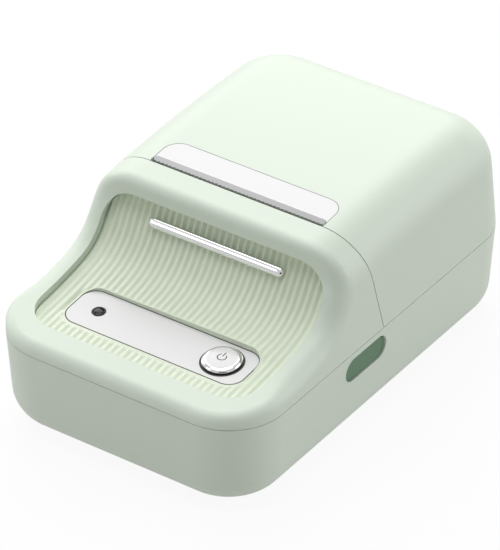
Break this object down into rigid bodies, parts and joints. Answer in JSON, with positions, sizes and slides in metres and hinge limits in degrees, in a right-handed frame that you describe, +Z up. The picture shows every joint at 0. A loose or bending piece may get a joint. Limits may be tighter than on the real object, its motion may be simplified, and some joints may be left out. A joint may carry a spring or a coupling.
{
  "type": "thermal label printer",
  "caption": "Compact thermal label printer: rounded case with a hinged roll lid, label exit slot, ribbed front deck, power button and side release buttons.",
  "frame": {"origin": "centre of the footprint on the surface that the rubber feet rest on", "axes": "+X to the printer's right, +Y from the control plate to the hinge at the back, +Z up"},
  "size_m": [0.08, 0.123, 0.0562],
  "materials": {
    "mint_shell": "satin, fine moulded grain",
    "mint_ribs": "satin, fine moulded grain",
    "mint_button": "satin",
    "white_plate": "satin gloss",
    "white_button": "satin gloss",
    "black_lens": "polished",
    "chrome_trim": "polished",
    "steel": "brushed",
    "bright_steel": "ground",
    "spring_steel": "drawn",
    "aluminium": "cast, satin",
    "black_rubber": "matt",
    "foot_rubber": "matt",
    "gear_plastic": "matt",
    "grey_plastic": "matt",
    "dark_plastic": "matt",
    "board_green": "satin solder mask",
    "brass_bush": "turned",
    "ceramic": "glazed",
    "battery_wrap": "shrink sleeve"
  },
  "bodies": {
    "base": {"base_case": "mint_shell", "front_cover": "mint_shell", "ribbed_panel": "mint_ribs", "control_plate": "white_plate", "status_lens": "black_lens", "trim_bar": "chrome_trim", "main_board": "board_green", "tact_switch": "dark_plastic", "battery": "battery_wrap", "charge_board": "board_green", "usb_port": "bright_steel", "feet": "foot_rubber", "case_screws": "steel", "roll_bin": "dark_plastic", "mech_frame": "grey_plastic", "motor_body": "steel", "idler_post": "steel", "head_pivot_pin": "steel", "head_springs": "spring_steel", "hinge_pins": "steel", "label_sensor": "dark_plastic", "release_spring_left": "spring_steel", "release_spring_right": "spring_steel"},
    "lid_body": {"lid": "mint_shell", "exit_plate": "white_plate", "tear_bar": "bright_steel", "platen_bracket": "grey_plastic", "platen_bushes": "brass_bush", "bracket_screws": "steel"},
    "platen": {"platen_shaft": "steel", "platen_rubber": "black_rubber", "platen_gear": "gear_plastic"},
    "idler": {"idler_gear": "gear_plastic"},
    "motor_rotor": {"motor_shaft": "steel", "motor_pinion": "brass_bush"},
    "print_head": {"head_plate": "aluminium", "head_ceramic": "ceramic"},
    "release_left": {"release_button_left": "mint_button", "latch_slide_left": "grey_plastic"},
    "release_right": {"release_button_right": "mint_button", "latch_slide_right": "grey_plastic"},
    "power_key": {"power_button": "white_button", "switch_plunger": "dark_plastic"},
    "guide_left": {"media_guide_left": "grey_plastic"},
    "guide_right": {"media_guide_right": "grey_plastic"},
    "guide_gear": {"guide_pinion": "gear_plastic"}
  },
  "joints": [
    {"name": "lid_hinge", "type": "hinge", "parent": "base", "child": "lid_body", "pos_m": [0, 0.0586, 0.0289], "axis": [-1, 0, 0], "range_deg": [0, 80]},
    {"name": "platen_spin", "type": "hinge", "parent": "lid_body", "child": "platen", "pos_m": [0, -0.0029, 0.0424], "axis": [1, 0, 0], "continuous": true},
    {"name": "idler_spin", "type": "hinge", "parent": "base", "child": "idler", "pos_m": [-0.028, -0.00558, 0.03019], "axis": [1, 0, 0], "continuous": true},
    {"name": "motor_spin", "type": "hinge", "parent": "base", "child": "motor_rotor", "pos_m": [-0.028, -0.00812, 0.02], "axis": [1, 0, 0], "continuous": true},
    {"name": "head_rock", "type": "hinge", "parent": "base", "child": "print_head", "pos_m": [0, -0.00975, 0.0368], "axis": [1, 0, 0], "range_deg": [0, 1.5], "stiffness_Nm_per_rad": 0.6, "springref_deg": -1.15, "deforming": ["head_springs"]},
    {"name": "release_left_press", "type": "slide", "parent": "base", "child": "release_left", "axis": [1, 0, 0], "range_m": [0, 0.0016], "stiffness_N_per_m": 400, "springref_m": -0.0005, "deforming": ["release_spring_left"]},
    {"name": "release_right_press", "type": "slide", "parent": "base", "child": "release_right", "axis": [-1, 0, 0], "range_m": [0, 0.0016], "stiffness_N_per_m": 400, "springref_m": -0.0005, "deforming": ["release_spring_right"]},
    {"name": "power_press", "type": "slide", "parent": "base", "child": "power_key", "axis": [0, 0.0872, -0.9962], "range_m": [0, 0.0005], "stiffness_N_per_m": 600, "springref_m": -0.0003},
    {"name": "guide_left_slide", "type": "slide", "parent": "base", "child": "guide_left", "axis": [-1, 0, 0], "range_m": [-0.014, 0]},
    {"name": "guide_right_slide", "type": "slide", "parent": "base", "child": "guide_right", "axis": [1, 0, 0], "range_m": [-0.014, 0]},
    {"name": "guide_gear_spin", "type": "hinge", "parent": "base", "child": "guide_gear", "pos_m": [0, 0.028, 0.004], "axis": [0, 0, 1], "range_deg": [0, 223]}
  ],
  "couplings": [
    {"joint": "idler_spin", "follows": "platen_spin", "ratio": -0.66667},
    {"joint": "motor_spin", "follows": "platen_spin", "ratio": 1.6667},
    {"joint": "guide_right_slide", "follows": "guide_left_slide", "ratio": 1},
    {"joint": "guide_gear_spin", "follows": "guide_left_slide", "rad_per_m": -277.78}
  ]
}
